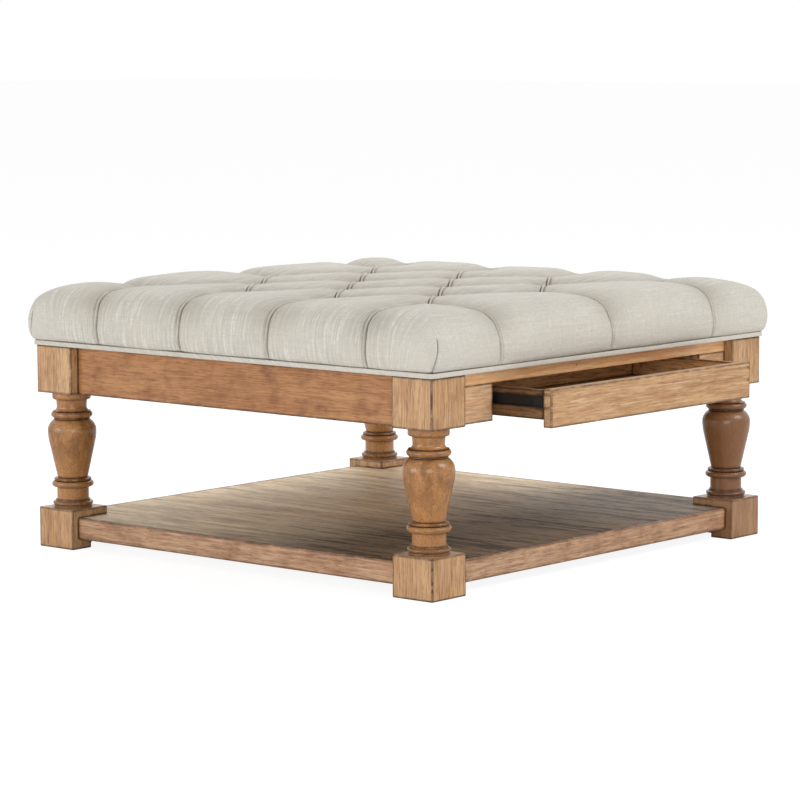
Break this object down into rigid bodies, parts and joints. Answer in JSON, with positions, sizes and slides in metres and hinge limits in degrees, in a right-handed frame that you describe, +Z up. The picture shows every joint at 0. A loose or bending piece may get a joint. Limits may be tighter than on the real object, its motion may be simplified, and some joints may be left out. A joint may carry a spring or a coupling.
{
  "type": "ottoman coffee table",
  "caption": "Square ottoman coffee table: a diamond-tufted linen cushion on a wooden frame with turned legs, a shallow drawer that slides out and a low shelf between the feet.",
  "frame": {"origin": "On the floor, at the middle of the outline of the table with its drawer 125 mm open. The middle of the table itself is 46.25 mm behind it.", "axes": "+Z is up, +X is to the right as seen from the front, and the drawer opens towards -Y."},
  "size_m": [1.016, 1.1086, 0.508],
  "materials": {
    "leg_wood": "waxed, open grain",
    "apron_wood": "waxed, open grain",
    "stile_wood": "waxed, pale limed grain",
    "drawer_face_wood": "waxed, pale limed grain",
    "drawer_box_wood": "matt",
    "plywood": "matt",
    "shelf_wood": "waxed, grey-brown",
    "shelf_edge_wood": "waxed, open grain",
    "inner_wood": "sawn",
    "dowel_wood": "smooth",
    "linen": "plain weave with slubs",
    "toggle_plastic": "matt",
    "zinc_steel": "zinc plated",
    "black_steel": "black, satin"
  },
  "bodies": {
    "table": {"apron_left": "apron_wood", "apron_rear": "apron_wood", "apron_right": "apron_wood", "bolt_nuts": "zinc_steel", "bolt_washers": "zinc_steel", "channel_screws": "black_steel", "corner_brace_front_left": "inner_wood", "corner_brace_front_right": "inner_wood", "corner_brace_rear_left": "inner_wood", "corner_brace_rear_right": "inner_wood", "cushion": "linen", "deck_bearer_front": "inner_wood", "deck_bearer_rear": "inner_wood", "deck_board": "plywood", "deck_screws": "zinc_steel", "drawer_cheek_left": "inner_wood", "drawer_cheek_right": "inner_wood", "edge_band": "linen", "frame_dowels": "dowel_wood", "front_rail": "apron_wood", "front_stile_left": "stile_wood", "front_stile_right": "stile_wood", "hanger_bolts": "zinc_steel", "leg_front_left": "leg_wood", "leg_front_right": "leg_wood", "leg_rear_left": "leg_wood", "leg_rear_right": "leg_wood", "shelf_batten_front": "inner_wood", "shelf_batten_rear": "inner_wood", "shelf_block_front_left": "inner_wood", "shelf_block_front_right": "inner_wood", "shelf_block_rear_left": "inner_wood", "shelf_block_rear_right": "inner_wood", "shelf_edge_front": "shelf_edge_wood", "shelf_edge_left": "shelf_edge_wood", "shelf_edge_rear": "shelf_edge_wood", "shelf_edge_right": "shelf_edge_wood", "shelf_panel": "shelf_wood", "shelf_screws": "zinc_steel", "slide_channel_left": "black_steel", "slide_channel_right": "black_steel", "tuft_buttons": "linen", "tuft_toggles": "toggle_plastic"},
    "drawer": {"drawer_front": "drawer_face_wood", "drawer_side_left": "drawer_box_wood", "drawer_side_right": "drawer_box_wood", "drawer_back": "drawer_box_wood", "drawer_bottom": "plywood", "drawer_screws": "zinc_steel", "drawer_dowels": "dowel_wood", "drawer_brads": "zinc_steel", "slide_runner_left": "black_steel", "slide_runner_right": "black_steel", "runner_screws": "black_steel"},
    "slide_cages": {"slide_cage_left": "black_steel", "slide_cage_right": "black_steel", "slide_balls": "zinc_steel"}
  },
  "joints": [
    {"name": "drawer_slide", "type": "slide", "parent": "table", "child": "drawer", "axis": [0, -1, 0], "range_m": [-0.125, 0.065]},
    {"name": "cage_slide", "type": "slide", "parent": "table", "child": "slide_cages", "axis": [0, -1, 0], "range_m": [-0.0625, 0.0325]}
  ],
  "couplings": [
    {"joint": "cage_slide", "follows": "drawer_slide", "ratio": 0.5}
  ]
}
